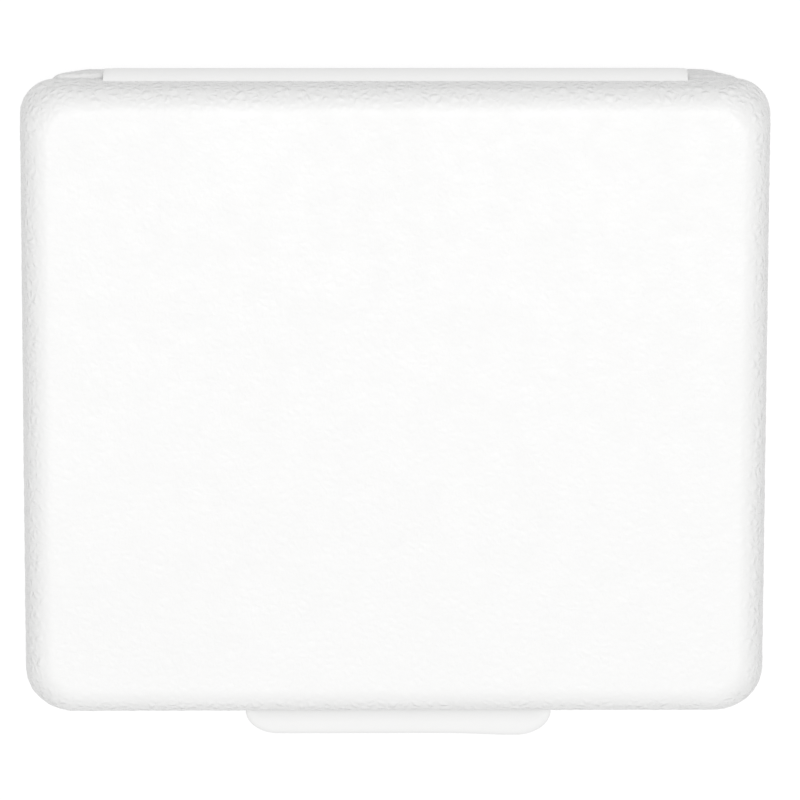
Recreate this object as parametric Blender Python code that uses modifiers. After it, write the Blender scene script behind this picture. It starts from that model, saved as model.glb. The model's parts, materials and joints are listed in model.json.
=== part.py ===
"""Wet palette: a double-walled plastic case on a living hinge, with a damp sponge and a palette sheet inside.

Lengths are in metres. The origin is the middle of the underside, +X is to the right, +Y to the hinge and +Z up.
The case is shown shut: the lid opens by two equal folds, one at each long edge of the hinge band.
"""

import math

import bmesh
import bpy
from mathutils import Matrix, Vector

MM = 0.001

# Case
CASE_WIDTH = 216 * MM  # across the rims, left to right
CASE_DEPTH = 188 * MM  # across the rims, front to back
BASE_HEIGHT = 18 * MM  # underside to parting plane
LID_HEIGHT = 14 * MM  # parting plane to top
CORNER_RADIUS = 12.5 * MM  # upright corners of both shells
BASE_CORNER_GROWTH = 8 * MM  # how much rounder the base's corners are at its underside
RIM_BAND = 3 * MM  # upright strip of wall beside each rim
BASE_DRAFT = math.radians(1)
LID_DRAFT = math.radians(12)
BASE_EDGE_RADIUS = 3.5 * MM
LID_EDGE_RADIUS = 8 * MM
SHELL_WALL = 2 * MM

# Inner skins and the seal between them
LINER_WALL = 1 * MM
POCKET_RADIUS = 2.5 * MM  # between the walls and the floor of each pocket
SEAL_BEAD_RADIUS = 0.8 * MM  # round bead on the lid's flange
SEAL_BEAD_HEIGHT = 0.7 * MM  # how far it stands out from the flange
LAND_MARGIN = 0.5 * MM  # flat flange left beside the groove, past the thickness of its walls

# Hinge band
HINGE_LENGTH = 168 * MM
HINGE_CHORD = 6.4 * MM  # between the two fold lines
HINGE_BULGE = 1.7 * MM  # how far the band bows out between them
HINGE_WALL = 0.7 * MM

# Front tab and its snap
TAB_WIDTH = 89 * MM
TAB_REACH = 7.5 * MM  # how far it stands out from the rims
TAB_THICKNESS = 1.8 * MM
TAB_CORNER_RADIUS = 6.5 * MM
TAB_EDGE_FLAT = 0.05 * MM  # flat left in the middle of its round edge
TAB_SHIFT = 1.5 * MM  # to the right of the middle
TAB_LIFT = 1.6 * MM  # middle of the tab above the parting plane
SNAP_WIDTH = 48 * MM
SNAP_WALL = 1.4 * MM  # thickness of the hook's upright and of its barb
CATCH_DROP = 2.6 * MM  # parting plane to the top of the catch
CATCH_HEIGHT = 1.4 * MM
CATCH_REACH = 2.2 * MM  # how far the catch stands out from the rims
SNAP_BITE = 0.6 * MM  # how far the barb reaches under the catch

# Sponge and sheet
SPONGE_THICKNESS = 8 * MM
SHEET_THICKNESS = 0.3 * MM

# Clearances
SEAT_GAP = 0.3 * MM  # between pieces that rest on or fold against each other
PARTING_GAP = 0.4 * MM  # between the two rims
SEAL_CLEARANCE = 0.4 * MM  # round the bead in its groove
SNAP_CLEARANCE = 0.4 * MM  # round the catch in the hook
SPONGE_CLEARANCE = 1 * MM  # from the sponge to the pocket's walls
SHEET_CLEARANCE = 1.5 * MM  # from the sheet to the pocket's walls

# Fineness of the round stretches
CORNER_SEGMENTS = 8
EDGE_SEGMENTS = 6
ROUND_SEGMENTS = 6
BEAD_RESOLUTION = 2
SHARP_ANGLE = math.radians(35)  # edges turned more than this stay crisp

# Sizes that follow from these
PARTING_HEIGHT = BASE_HEIGHT
BASE_RIM_HEIGHT = PARTING_HEIGHT - PARTING_GAP / 2
LID_RIM_HEIGHT = PARTING_HEIGHT + PARTING_GAP / 2
BASE_SHELL_HEIGHT = BASE_HEIGHT - PARTING_GAP / 2
LID_SHELL_HEIGHT = LID_HEIGHT - PARTING_GAP / 2
FLANGE_INSET = SHELL_WALL + SEAT_GAP
FLANGE_WIDTH = CASE_WIDTH - 2 * FLANGE_INSET
FLANGE_DEPTH = CASE_DEPTH - 2 * FLANGE_INSET
FLANGE_CORNER_RADIUS = CORNER_RADIUS - FLANGE_INSET
GROOVE_WIDTH = 2 * (SEAL_BEAD_RADIUS + SEAL_CLEARANCE)
GROOVE_DEPTH = SEAL_BEAD_HEIGHT - PARTING_GAP + SEAL_CLEARANCE
OUTER_LAND = LINER_WALL + LAND_MARGIN
INNER_LAND = 2 * LINER_WALL + LAND_MARGIN
FLANGE_BREADTH = OUTER_LAND + GROOVE_WIDTH + INNER_LAND
POCKET_WIDTH = FLANGE_WIDTH - 2 * FLANGE_BREADTH
POCKET_DEPTH = FLANGE_DEPTH - 2 * FLANGE_BREADTH
POCKET_CORNER_RADIUS = FLANGE_CORNER_RADIUS - FLANGE_BREADTH
SKIN_STACK = SHELL_WALL + SEAT_GAP + LINER_WALL
TRAY_SINK = BASE_SHELL_HEIGHT - SKIN_STACK
LID_SINK = LID_SHELL_HEIGHT - SKIN_STACK
SPONGE_BOTTOM = SKIN_STACK + SEAT_GAP
SHEET_BOTTOM = SPONGE_BOTTOM + SPONGE_THICKNESS + SEAT_GAP
HINGE_FOLD_RADIUS = HINGE_WALL / 2
HINGE_FOLD_REACH = CASE_DEPTH / 2 + SEAT_GAP + HINGE_FOLD_RADIUS
TAB_FOLD_RADIUS = TAB_THICKNESS / 2
TAB_EDGE_RADIUS = TAB_FOLD_RADIUS - TAB_EDGE_FLAT / 2
TAB_FOLD_REACH = CASE_DEPTH / 2 + SEAT_GAP + TAB_FOLD_RADIUS
BASE_FOLD = Vector((0, HINGE_FOLD_REACH, PARTING_HEIGHT - HINGE_CHORD / 2))
LID_FOLD = Vector((0, HINGE_FOLD_REACH, PARTING_HEIGHT + HINGE_CHORD / 2))
TAB_FOLD = Vector((TAB_SHIFT, -TAB_FOLD_REACH, PARTING_HEIGHT + TAB_LIFT))

TOUCHING = 1e-7  # points nearer than this are one point


def clear_scene():
    for obj in list(bpy.data.objects):
        bpy.data.objects.remove(obj, do_unlink=True)


def new_collection(name):
    collection = bpy.data.collections.new(name)
    bpy.context.scene.collection.children.link(collection)
    return collection


def plastic(name, colour, roughness):
    material = bpy.data.materials.new(name)
    material.use_nodes = True
    shader = material.node_tree.nodes["Principled BSDF"]
    shader.inputs["Base Color"].default_value = (*colour, 1)
    shader.inputs["Roughness"].default_value = roughness
    shader.inputs["Metallic"].default_value = 0
    return material


def mesh_from(name, bm):
    mesh = bpy.data.meshes.new(name)
    bm.to_mesh(mesh)
    bm.free()
    mesh.shade_smooth()
    mesh.set_sharp_from_angle(angle=SHARP_ANGLE)
    return mesh


def add_object(name, mesh, collection, location=(0, 0, 0)):
    obj = bpy.data.objects.new(name, mesh)
    obj.location = location
    collection.objects.link(obj)
    return obj


def add_pivot(name, location, collection, parent=None):
    """Empty on a fold line, which carries what turns about that line."""
    pivot = add_object(name, None, collection, location)
    pivot.empty_display_size = BASE_HEIGHT / 2
    if parent:
        carry(pivot, parent)
    return pivot


def carry(obj, parent):
    """Makes obj a child of parent and leaves it where it is."""
    bpy.context.view_layer.update()
    obj.parent = parent
    obj.matrix_parent_inverse = parent.matrix_world.inverted()


def bevel(bm, edges, radius, segments, affect="EDGES"):
    bmesh.ops.bevel(
        bm,
        geom=edges,
        offset=radius,
        offset_type="OFFSET",
        segments=segments,
        profile=0.5,
        affect=affect,
        clamp_overlap=True,
    )


def is_upright(edge):
    return abs(edge.verts[0].co.z - edge.verts[1].co.z) > TOUCHING


def lies_at(edge, height):
    return all(abs(vert.co.z - height) < TOUCHING for vert in edge.verts)


def rounded_plane(bm, width, depth, corner_radius):
    """Flat face at z = 0 with round corners, facing up."""
    bmesh.ops.create_grid(bm, x_segments=1, y_segments=1, size=0.5)
    bmesh.ops.scale(bm, verts=bm.verts, vec=(width, depth, 1))
    bevel(bm, bm.verts[:], corner_radius, CORNER_SEGMENTS, affect="VERTICES")
    return bm.faces[:][0]


def inset_face(bm, face, breadth):
    """Narrows one face by breadth all round and returns the ring that this leaves about it."""
    return bmesh.ops.inset_region(
        bm, faces=[face], thickness=breadth, use_boundary=True, use_even_offset=True
    )["faces"]


def move_face(bm, face, rise):
    bmesh.ops.translate(bm, verts=face.verts, vec=(0, 0, rise))


def extrude_face(bm, face, rise):
    """Draws one face out along Z, leaves its first place open and returns the face that moved."""
    moved = bmesh.ops.extrude_discrete_faces(bm, faces=[face])["faces"][0]
    move_face(bm, moved, rise)
    return moved


def widen_corners(face, radius, growth):
    """Widens the round corners of a flat face from radius by growth. Its straight sides stay in line."""
    half_width = max(vert.co.x for vert in face.verts)
    half_depth = max(vert.co.y for vert in face.verts)
    for vert in face.verts:
        corner = Vector((math.copysign(half_width, vert.co.x), math.copysign(half_depth, vert.co.y), vert.co.z))
        vert.co = corner + (vert.co - corner) * (radius + growth) / radius


def shell_mesh(name, height, draft, edge_radius, corner_growth=0):
    """Open box with its rim at z = 0: an upright band, a drafted wall and a round edge about a flat top."""
    bm = bmesh.new()
    outline = rounded_plane(bm, CASE_WIDTH, CASE_DEPTH, CORNER_RADIUS)
    top = extrude_face(bm, outline, RIM_BAND)
    slope_rise = height - RIM_BAND
    slope_inset = slope_rise * math.tan(draft)
    inset_face(bm, top, slope_inset)
    move_face(bm, top, slope_rise)
    widen_corners(top, CORNER_RADIUS - slope_inset, corner_growth)
    tangent = edge_radius * math.tan((math.pi / 2 - draft) / 2)
    bevel(bm, [edge for edge in bm.edges if lies_at(edge, height)], tangent, EDGE_SEGMENTS)
    return mesh_from(name, bm)


def liner_mesh(name, sink, groove_depth):
    """Pan with its flange at z = 0, open side up: a flange, with a groove if asked, about a sunk pocket."""
    bm = bmesh.new()
    middle = rounded_plane(bm, FLANGE_WIDTH, FLANGE_DEPTH, FLANGE_CORNER_RADIUS)
    _, groove, _ = [inset_face(bm, middle, breadth) for breadth in (OUTER_LAND, GROOVE_WIDTH, INNER_LAND)]
    if groove_depth:
        sunk = bmesh.ops.extrude_face_region(bm, geom=groove)["geom"]
        sunk_verts = [part for part in sunk if isinstance(part, bmesh.types.BMVert)]
        bmesh.ops.translate(bm, verts=sunk_verts, vec=(0, 0, -groove_depth))
        bmesh.ops.delete(bm, geom=groove, context="FACES")
    extrude_face(bm, middle, -sink)
    bevel(bm, [edge for edge in bm.edges if lies_at(edge, -sink)], POCKET_RADIUS, EDGE_SEGMENTS)
    return mesh_from(name, bm)


def slab_mesh(name, size, corner_radius, edge_radius, rounds=lambda corner: True):
    """Flat plate about the origin. Upright edges that rounds picks get the corner radius."""
    bm = bmesh.new()
    bmesh.ops.create_cube(bm, size=1, matrix=Matrix.Diagonal((*size, 1)))
    corners = [edge for edge in bm.edges if is_upright(edge) and rounds(edge.verts[0].co)]
    bevel(bm, corners, corner_radius, CORNER_SEGMENTS)
    if edge_radius:
        bevel(bm, [edge for edge in bm.edges if not is_upright(edge)], edge_radius, ROUND_SEGMENTS)
    return mesh_from(name, bm)


def curve_to_mesh(name, curve, collection):
    """Mesh of a curve, with its caps welded on and its faces out. The curve is removed."""
    drawn = add_object(name, curve, collection)
    evaluated = drawn.evaluated_get(bpy.context.evaluated_depsgraph_get())
    raw = bpy.data.meshes.new_from_object(evaluated)
    bpy.data.objects.remove(drawn, do_unlink=True)
    bpy.data.curves.remove(curve)
    bm = bmesh.new()
    bm.from_mesh(raw)
    bpy.data.meshes.remove(raw)
    bmesh.ops.remove_doubles(bm, verts=bm.verts, dist=TOUCHING)
    bmesh.ops.recalc_face_normals(bm, faces=bm.faces)
    return mesh_from(name, bm)


def closed_spline(curve, points):
    spline = curve.splines.new("POLY")
    spline.points.add(len(points) - 1)
    for point, (x, y) in zip(spline.points, points):
        point.co = (x, y, 0, 1)
    spline.use_cyclic_u = True


def prism_mesh(name, section, length, collection):
    """Solid of a closed section, given as (y, z) points, drawn out along X on both sides of x = 0."""
    curve = bpy.data.curves.new(name, "CURVE")
    curve.dimensions = "2D"
    curve.fill_mode = "BOTH"
    curve.extrude = length / 2
    closed_spline(curve, section)
    mesh = curve_to_mesh(name, curve, collection)
    mesh.transform(Matrix(((0, 0, 1, 0), (1, 0, 0, 0), (0, 1, 0, 0), (0, 0, 0, 1))))
    return mesh


def arc(centre, radius, start, turn, segments):
    """Points on an arc, both ends included."""
    angles = [start + turn * step / segments for step in range(segments + 1)]
    return [(centre[0] + radius * math.cos(angle), centre[1] + radius * math.sin(angle)) for angle in angles]


def rounded_rectangle(width, depth, radius):
    """Points round a rectangle with arcs at its corners."""
    points = []
    for quarter, (side_x, side_y) in enumerate(((1, 1), (-1, 1), (-1, -1), (1, -1))):
        centre = (side_x * (width / 2 - radius), side_y * (depth / 2 - radius))
        points += arc(centre, radius, quarter * math.pi / 2, math.pi / 2, CORNER_SEGMENTS)
    return points


def thicken(obj, thickness):
    """Gives an open surface its wall, on the side away from its faces."""
    solidify = obj.modifiers.new("wall", "SOLIDIFY")
    solidify.thickness = thickness
    solidify.offset = -1
    solidify.use_even_offset = True
    solidify.use_quality_normals = True


def fuse(obj, tool):
    """Joins a moulded-on feature to its piece."""
    tool.hide_render = True
    tool.display_type = "WIRE"
    union = obj.modifiers.new(tool.name, "BOOLEAN")
    union.operation = "UNION"
    union.solver = "EXACT"
    union.object = tool


def base_shell(parts, cutters, pivot, material):
    mesh = shell_mesh("base_shell", BASE_SHELL_HEIGHT, BASE_DRAFT, BASE_EDGE_RADIUS, BASE_CORNER_GROWTH)
    shell = add_object("base_shell", mesh, parts, (0, 0, BASE_RIM_HEIGHT))
    shell.rotation_euler = (0, math.pi, 0)
    shell.data.materials.append(material)
    thicken(shell, SHELL_WALL)
    carry(shell, pivot)
    catch_top = PARTING_HEIGHT - CATCH_DROP
    catch_face = -CASE_DEPTH / 2 - CATCH_REACH
    catch_root = -CASE_DEPTH / 2 + SHELL_WALL / 2
    ramp = CATCH_HEIGHT / 2
    section = [
        (catch_root, catch_top - CATCH_HEIGHT),
        (catch_root, catch_top),
        (catch_face + ramp, catch_top),
        (catch_face, catch_top - ramp),
        (catch_face, catch_top - CATCH_HEIGHT),
    ]
    catch = add_object("catch", prism_mesh("catch", section, SNAP_WIDTH, cutters), cutters, (TAB_SHIFT, 0, 0))
    fuse(shell, catch)
    carry(catch, pivot)


def base_tray(parts, pivot, material):
    mesh = liner_mesh("base_tray", TRAY_SINK, GROOVE_DEPTH)
    tray = add_object("base_tray", mesh, parts, (0, 0, BASE_RIM_HEIGHT))
    tray.data.materials.append(material)
    thicken(tray, LINER_WALL)
    carry(tray, pivot)


def sponge(parts, pivot, material):
    size = (POCKET_WIDTH - 2 * SPONGE_CLEARANCE, POCKET_DEPTH - 2 * SPONGE_CLEARANCE, SPONGE_THICKNESS)
    mesh = slab_mesh("sponge", size, POCKET_CORNER_RADIUS, POCKET_RADIUS)
    pad = add_object("sponge", mesh, parts, (0, 0, SPONGE_BOTTOM + SPONGE_THICKNESS / 2))
    pad.data.materials.append(material)
    carry(pad, pivot)


def palette_sheet(parts, pivot, material):
    size = (POCKET_WIDTH - 2 * SHEET_CLEARANCE, POCKET_DEPTH - 2 * SHEET_CLEARANCE, SHEET_THICKNESS)
    mesh = slab_mesh("palette_sheet", size, POCKET_CORNER_RADIUS, 0)
    sheet = add_object("palette_sheet", mesh, parts, (0, 0, SHEET_BOTTOM + SHEET_THICKNESS / 2))
    sheet.data.materials.append(material)
    carry(sheet, pivot)


def hinge_band(parts, pivot, material):
    """Bowed strip, with round edges that turn on the two fold lines."""
    bow_radius = (HINGE_CHORD**2 / 4 + HINGE_BULGE**2) / (2 * HINGE_BULGE)
    half_angle = math.asin(HINGE_CHORD / 2 / bow_radius)
    centre = (HINGE_BULGE - bow_radius, HINGE_CHORD / 2)
    outside = arc(centre, bow_radius + HINGE_FOLD_RADIUS, -half_angle, 2 * half_angle, EDGE_SEGMENTS)
    upper_edge = arc((0, HINGE_CHORD), HINGE_FOLD_RADIUS, half_angle, math.pi, ROUND_SEGMENTS)
    inside = arc(centre, bow_radius - HINGE_FOLD_RADIUS, half_angle, -2 * half_angle, EDGE_SEGMENTS)
    lower_edge = arc((0, 0), HINGE_FOLD_RADIUS, math.pi - half_angle, math.pi, ROUND_SEGMENTS)
    section = outside + upper_edge[1:-1] + inside + lower_edge[1:-1]
    mesh = prism_mesh("hinge_band", section, HINGE_LENGTH, parts)
    band = add_object("hinge_band", mesh, parts, BASE_FOLD)
    band.data.materials.append(material)
    carry(band, pivot)


def lid_shell(parts, pivot, material):
    mesh = shell_mesh("lid_shell", LID_SHELL_HEIGHT, LID_DRAFT, LID_EDGE_RADIUS)
    shell = add_object("lid_shell", mesh, parts, (0, 0, LID_RIM_HEIGHT))
    shell.data.materials.append(material)
    thicken(shell, SHELL_WALL)
    carry(shell, pivot)


def lid_liner(parts, cutters, pivot, material):
    liner = add_object("lid_liner", liner_mesh("lid_liner", LID_SINK, 0), parts, (0, 0, LID_RIM_HEIGHT))
    liner.rotation_euler = (0, math.pi, 0)
    liner.data.materials.append(material)
    thicken(liner, LINER_WALL)
    carry(liner, pivot)
    bead_inset = OUTER_LAND + GROOVE_WIDTH / 2
    curve = bpy.data.curves.new("seal_bead", "CURVE")
    curve.dimensions = "3D"
    curve.bevel_depth = SEAL_BEAD_RADIUS
    curve.bevel_resolution = BEAD_RESOLUTION
    width = FLANGE_WIDTH - 2 * bead_inset
    depth = FLANGE_DEPTH - 2 * bead_inset
    closed_spline(curve, rounded_rectangle(width, depth, FLANGE_CORNER_RADIUS - bead_inset))
    bead_height = LID_RIM_HEIGHT + SEAL_BEAD_RADIUS - SEAL_BEAD_HEIGHT
    bead = add_object("seal_bead", curve_to_mesh("seal_bead", curve, cutters), cutters, (0, 0, bead_height))
    fuse(liner, bead)
    carry(bead, pivot)


def front_tab(parts, cutters, pivot, material):
    """Finger tab that bends at its root, with a hook below it that snaps under the catch."""
    length = TAB_FOLD_RADIUS + TAB_REACH - (TAB_FOLD_REACH - CASE_DEPTH / 2)
    mesh = slab_mesh(
        "front_tab",
        (TAB_WIDTH, length, TAB_THICKNESS),
        TAB_CORNER_RADIUS,
        TAB_EDGE_RADIUS,
        rounds=lambda corner: corner.y < 0,
    )
    mesh.transform(Matrix.Translation((0, TAB_FOLD_RADIUS - length / 2, 0)))
    tab = add_object("front_tab", mesh, parts, TAB_FOLD)
    tab.data.materials.append(material)
    carry(tab, pivot)
    catch_face = -CASE_DEPTH / 2 - CATCH_REACH
    inside = catch_face - SNAP_CLEARANCE
    outside = inside - SNAP_WALL
    barb_tip = catch_face + SNAP_BITE
    barb_top = PARTING_HEIGHT - CATCH_DROP - CATCH_HEIGHT - SNAP_CLEARANCE
    barb_bottom = barb_top - SNAP_WALL
    section = [
        (outside, TAB_FOLD.z),
        (outside, barb_bottom),
        (inside, barb_bottom),
        (barb_tip, barb_top - SNAP_WALL / 2),
        (barb_tip, barb_top),
        (inside, barb_top),
        (inside, TAB_FOLD.z),
    ]
    hook = add_object("hook", prism_mesh("hook", section, SNAP_WIDTH, cutters), cutters, (TAB_SHIFT, 0, 0))
    fuse(tab, hook)
    carry(hook, pivot)


def main():
    clear_scene()
    parts = new_collection("wet_palette")
    cutters = new_collection("cutters")
    grained = plastic("grained_plastic", (0.89, 0.89, 0.885), 0.45)
    smooth = plastic("smooth_plastic", (0.89, 0.89, 0.885), 0.3)
    foam = plastic("sponge", (0.86, 0.72, 0.36), 0.9)
    paper = plastic("palette_paper", (0.86, 0.83, 0.75), 0.6)

    base_pivot = add_pivot("base_pivot", (0, 0, 0), parts)
    band_pivot = add_pivot("band_pivot", BASE_FOLD, parts, base_pivot)
    lid_pivot = add_pivot("lid_pivot", LID_FOLD, parts, band_pivot)
    tab_pivot = add_pivot("tab_pivot", TAB_FOLD, parts, lid_pivot)

    base_shell(parts, cutters, base_pivot, grained)
    base_tray(parts, base_pivot, smooth)
    sponge(parts, base_pivot, foam)
    palette_sheet(parts, base_pivot, paper)
    hinge_band(parts, band_pivot, smooth)
    lid_shell(parts, lid_pivot, grained)
    lid_liner(parts, cutters, lid_pivot, smooth)
    front_tab(parts, cutters, tab_pivot, smooth)


main()
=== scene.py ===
"""Looks of the wet palette: grained skins, a smooth hinge strip and tab, the seal, the sponge and the sheet.

Lengths are in metres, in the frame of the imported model: +X to the right, +Y to the hinge and +Z up.
"""

import json
import math

import bmesh
import bpy
import numpy as np
from mathutils import Matrix, Vector, noise


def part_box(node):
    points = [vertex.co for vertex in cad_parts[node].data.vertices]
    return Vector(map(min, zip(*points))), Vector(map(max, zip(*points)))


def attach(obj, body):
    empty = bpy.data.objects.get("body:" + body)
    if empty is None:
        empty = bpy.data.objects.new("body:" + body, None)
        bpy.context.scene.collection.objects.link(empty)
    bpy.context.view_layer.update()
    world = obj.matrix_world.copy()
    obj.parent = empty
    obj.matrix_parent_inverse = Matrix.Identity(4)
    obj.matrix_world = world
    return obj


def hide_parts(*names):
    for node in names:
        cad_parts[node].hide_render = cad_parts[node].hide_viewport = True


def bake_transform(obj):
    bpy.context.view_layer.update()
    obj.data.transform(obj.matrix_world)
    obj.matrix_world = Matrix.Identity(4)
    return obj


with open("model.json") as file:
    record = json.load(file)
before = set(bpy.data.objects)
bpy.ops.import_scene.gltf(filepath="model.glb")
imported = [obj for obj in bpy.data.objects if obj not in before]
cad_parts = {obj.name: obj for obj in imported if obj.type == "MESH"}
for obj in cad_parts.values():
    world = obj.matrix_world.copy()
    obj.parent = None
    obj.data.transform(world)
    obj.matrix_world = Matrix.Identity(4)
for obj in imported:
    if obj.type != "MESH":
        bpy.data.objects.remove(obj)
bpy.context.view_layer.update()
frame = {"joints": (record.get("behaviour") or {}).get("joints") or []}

MM = 0.001

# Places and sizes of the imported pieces
LID_LOW, LID_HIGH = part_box("lid_shell")
BASE_LOW, BASE_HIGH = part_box("base_shell")
BAND_LOW, BAND_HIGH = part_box("hinge_band")
TAB_LOW, TAB_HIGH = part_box("front_tab")
TRAY_LOW, TRAY_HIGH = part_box("base_tray")
_, LINER_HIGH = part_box("lid_liner")
SPONGE_LOW, SPONGE_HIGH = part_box("sponge")
SHEET_LOW, SHEET_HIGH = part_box("palette_sheet")
JOINT_AT = {joint["name"]: Vector(joint["pos_m"]) for joint in frame["joints"]}
BASE_FOLD = JOINT_AT["band_fold"]
LID_FOLD = JOINT_AT["lid_fold"]
TAB_FOLD = JOINT_AT["tab_flex"]
HALF_WIDTH = LID_HIGH.x
HALF_DEPTH = LID_HIGH.y
LID_RIM = LID_LOW.z
LID_TOP = LID_HIGH.z
BASE_RIM = BASE_HIGH.z
PARTING = (LID_RIM + BASE_RIM) / 2

# Shape of the two skins
CORNER_RADIUS = 12.5 * MM
LID_CORNER_GROWTH = 4 * MM  # how much rounder the lid's corners are at its flat
LID_RIM_GROWTH = (0.7 * MM, -2.2 * MM)  # and at its rim, at the front and at the back
BASE_CORNER_GROWTH = 9.5 * MM  # how much rounder the base's corners are at its underside
BASE_RIM_GROWTH = (0.7 * MM, 1.5 * MM)  # and at its rim, at the front and at the back
RIM_BAND = 3 * MM  # upright strip of wall beside each rim
RIM_EASE = 1.6 * MM  # length over which the wall turns upright
LID_DRAFT = math.radians(12)
LID_EDGE_RADIUS = 8 * MM
LID_RIM_EDGE = 0.8 * MM
BASE_DRAFT = math.radians(1.8)
BASE_EDGE_RADIUS = 3.5 * MM
BASE_RIM_EDGE = 1.3 * MM
EAR_PROUD = 0.85 * MM  # the base's rim stands out this far at the back, beside the hinge strip
EAR_LEAN = 0.35 * MM  # this much more at the left and less at the right
EAR_LAP = 2.5 * MM  # the step starts this far behind the ends of the strip
EAR_RAMP = 1 * MM  # and is full after this length
EAR_DEPTH = 1.2 * MM  # the base's corners lose the step over this depth from the back
EAR_SHOULDER = 0.6 * MM  # further step out right beside the strip
EAR_SHOULDER_RUN = 2 * MM  # length over which it dies out away from the strip
EAR_SHOULDER_LAP = 0.9 * MM  # and how far it goes on behind the strip
SKIN_WALL = 2 * MM
RIM_FACE = 2.28 * MM  # breadth of the rim's face, which reaches to the inner skin

# Moulded grain
GRAIN_CELL = 3.0 * MM
GRAIN_DEPTH = 0.12 * MM
GRAIN_ON_FLAT = 0.25  # share of the grain's depth on the flats
GRAIN_FULL_SLOPE = math.radians(42)  # the grain is at its full depth from this slope on
GRAIN_CREASE = 0.55  # share of a cell taken up by the slopes into its crease
GRAIN_WARP = 0.35  # how far the cells are bent, as a share of one
GRAIN_WARP_RATE = 0.8  # bends for each cell
GRAIN_SEED = 1  # without one, the bends would differ from run to run
GRAIN_LEVEL = 0.6  # height of the grain that lies on the plain surface
GRAIN_END = 0.6 * MM  # the grain dies out this far from a rim
GRAIN_FADE = 1.2 * MM  # length over which it dies out
WORM_CELL = 2.6 * MM  # second grain, in the material
WORM_DEPTH = 0.3 * MM
WORM_WARP = 1.5 * MM
WORM_ON_FLAT = 0.15  # share of its depth on the flats
WORM_FULL_BELOW = 0.78  # it is at its full depth where the surface faces up or down less than this
WORM_CREASE = 0.5  # share of a cell taken up by the slopes into its crease
WORM_PAINTED_SHADE = 0.18  # how far painted shade darkens the lid's creases
WORM_PAINTED_SHADE_BASE = 0.55  # and the base's creases, with more painted shade on its walls

# Fineness of the meshes
CORE_STEP = 0.9 * MM
EDGE_STEP = 0.7 * MM
RIM_ZONE = 2 * MM
RIM_STEPS = 8
SECTION_STEPS = 600
CORNER_STEPS = 16
ARC_STEPS = 10
FLANK_STEPS = 30
GROOVE_STEPS = 4
SNAP_STEPS = 3
SHEET_EDGE_STEPS = 4
FEWEST_EDGE_STEPS = 4
SHARP_ANGLE = math.radians(40)
WELD = 1e-7
TINY = 1e-18  # keeps zero out of divisions

# Inner skins and seal
LINER_INSET = HALF_WIDTH - TRAY_HIGH.x
LINER_WALL = 1 * MM
OUTER_LAND = 1.5 * MM
GROOVE_WIDTH = 2.4 * MM
GROOVE_DEPTH = 0.7 * MM
GROOVE_EDGE = 0.25 * MM
INNER_LAND = 2.5 * MM
POCKET_LIP = 0.8 * MM  # round lip from the flange into the pocket
POCKET_RADIUS = 2.5 * MM
BEAD_RADIUS = 0.8 * MM
BEAD_HEIGHT = 0.7 * MM

# Hinge strip
STRIP_WALL = 0.7 * MM
STRIP_ROOT_SLOPE = math.radians(43)  # how far its face leans from level at the folds
STRIP_NOSE_SLOPE = math.radians(67)  # and beside its nose
STRIP_NOSE_RADIUS = 0.5 * MM
STRIP_OVERHANG = 0.15 * MM
STRIP_END_EDGE = 0.3 * MM
STRIP_END_TIP = 0.6 * MM  # its ends slope down by this much
STRIP_END_SLOPE = 0.6 * MM
STRIP_END_LOW = 0.1 * MM  # and are lower by this much beside their slope
STRIP_END_LENGTH = 2.2 * MM
STRIP_END_EASE = 0.6 * MM
ROOT_GAP = 0.03 * MM  # between the strip's round edges and the roots beside them
ROOT_TIP_TURN = 0.3  # how far round the strip's edge the tips of the roots stay back, in radians
ROOT_SINK = 0.6 * MM  # depth of the roots inside the walls

# Front tab
TAB_SHIFT = -0.3 * MM  # from the middle of its fold
TAB_MIDDLE = TAB_FOLD.x + TAB_SHIFT
TAB_HALF = TAB_HIGH.x - TAB_MIDDLE
TAB_THICKNESS = 1.8 * MM
TAB_EDGE = 1.8 * MM  # run of its round edge
TAB_CORNER_LENGTH = 9.5 * MM
TAB_CORNER_DEPTH = 7.4 * MM
TAB_SAG = 0.6 * MM  # the outer edge runs out this much further towards its right end
TAB_SAG_AT = 34 * MM
TAB_SAG_BREADTH = 11 * MM
TAB_ROOT_SINK = 0.9 * MM  # depth of its root inside the wall
TAB_FILLET_REACH = 5.4 * MM  # hollow root between the wall and the tab
TAB_FILLET_RISE = 4.4 * MM
TAB_FILLET_FADE = 5 * MM  # from the ends of the tab
TAB_DROOP = math.radians(13)
TAB_OVERHANG = 0.8 * MM
TAB_STEP = 0.5 * MM
TAB_STEP_ACROSS = 1.5 * MM
TAB_PLAIN_SHARE = 0.8  # share of its reach before the rows crowd towards its edge

# Snap
SNAP_WIDTH = 48 * MM
SNAP_WALL = 1.4 * MM
CATCH_DROP = 2.6 * MM
CATCH_HEIGHT = 1.4 * MM
CATCH_REACH = 2.2 * MM
SNAP_BITE = 0.6 * MM
SNAP_CLEARANCE = 0.4 * MM
SNAP_EDGE = 0.2 * MM

# Sponge and sheet
SPONGE_STEP = 2 * MM
SPONGE_EDGE = 2.5 * MM
SPONGE_CORNER = 4.8 * MM
SPONGE_PORE = 3.2 * MM
SPONGE_PORE_DEPTH = 0.35 * MM  # in the mesh
SPONGE_PORE_BUMP = 0.5 * MM  # and more in the material
SPONGE_SMALL_PORE = 0.8 * MM
SPONGE_SMALL_BUMP = 0.25 * MM
SHEET_STEP = 2.5 * MM
SHEET_THICKNESS = 0.12 * MM
SHEET_CORNER = 4.8 * MM
SHEET_WAVE = 26 * MM
SHEET_WAVE_HEIGHT = 0.25 * MM
SHEET_CURL = 0.9 * MM  # lift of the corners
SHEET_CURL_FROM = 0.7  # share of the way to a corner where its lift starts

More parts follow.
